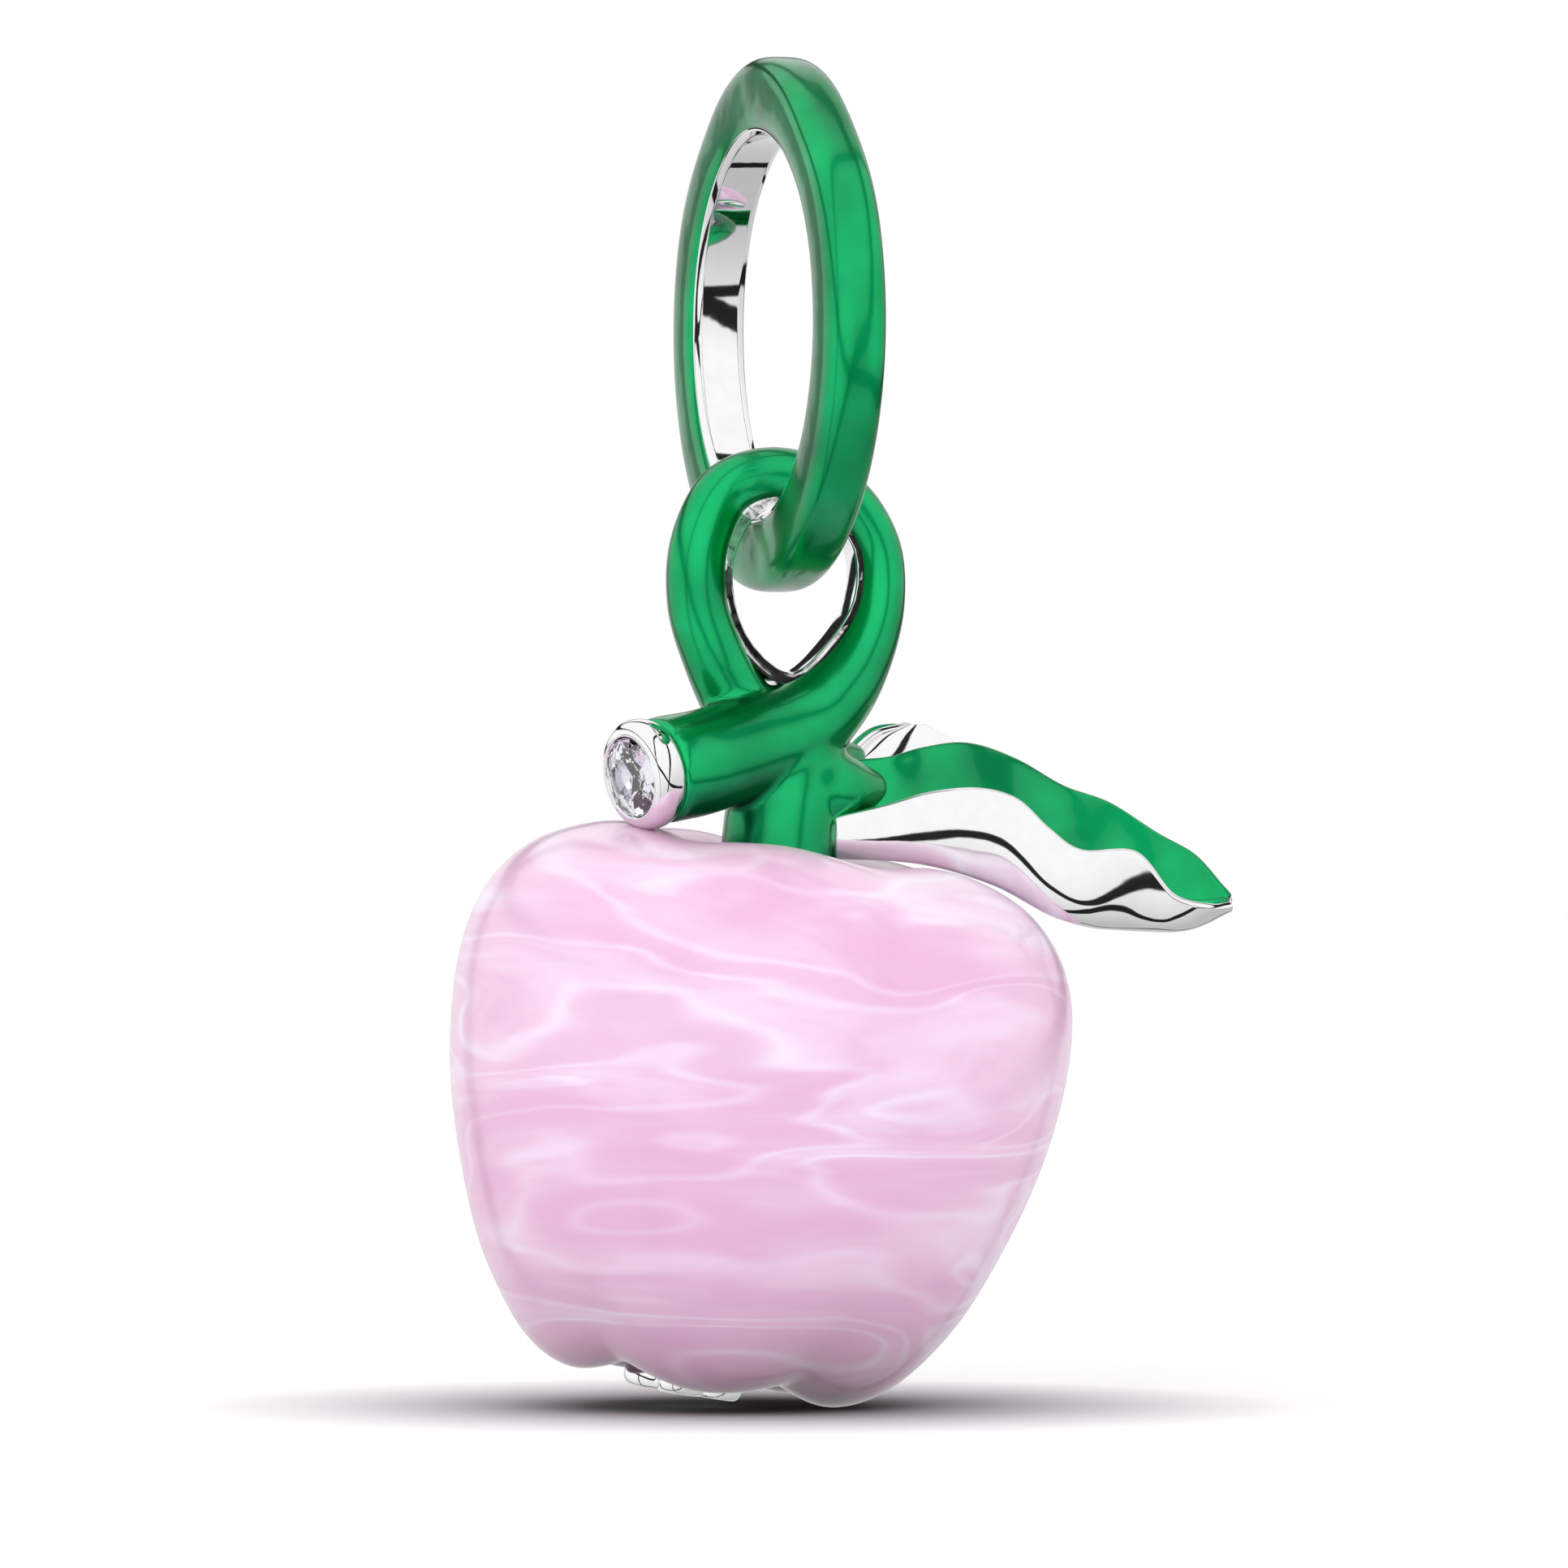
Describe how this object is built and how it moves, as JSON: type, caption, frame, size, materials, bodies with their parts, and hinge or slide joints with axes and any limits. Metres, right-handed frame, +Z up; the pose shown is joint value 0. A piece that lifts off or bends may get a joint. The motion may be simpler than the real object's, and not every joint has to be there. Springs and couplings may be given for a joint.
{
  "type": "apple charm pendant",
  "caption": "Dangling charm: a lobed swirled-glass apple on an enamelled silver stem loop with twig, stone and leaves, hung from a carrier ring.",
  "frame": {"origin": "top of the carrier ring's inside, where the bracelet or chain bears", "axes": "+Z up; X along the carrier ring's axis; Y across the ring, away from the viewer"},
  "size_m": [0.0159, 0.013, 0.0282],
  "materials": {
    "polished_silver": "polished sterling silver",
    "green_enamel": "glossy translucent enamel over silver",
    "pink_glass": "glossy opalescent swirled glass",
    "clear_crystal": "faceted clear stone"
  },
  "bodies": {
    "ring": {"ring_band": "polished_silver", "ring_enamel": "green_enamel"},
    "drop": {"stem_casting": "polished_silver", "stem_enamel": "green_enamel", "crystal_cup": "polished_silver", "crystal": "clear_crystal", "leaf_casting": "polished_silver", "leaf_enamel": "green_enamel", "back_leaf_casting": "polished_silver", "back_leaf_enamel": "green_enamel", "apple_glass": "pink_glass", "core_post": "polished_silver", "calyx": "polished_silver"}
  },
  "joints": [
    {"name": "drop_swing", "type": "hinge", "parent": "ring", "child": "drop", "pos_m": [0, 0, -0.00876], "axis": [0, 1, 0], "range_deg": [-90, 90]}
  ]
}
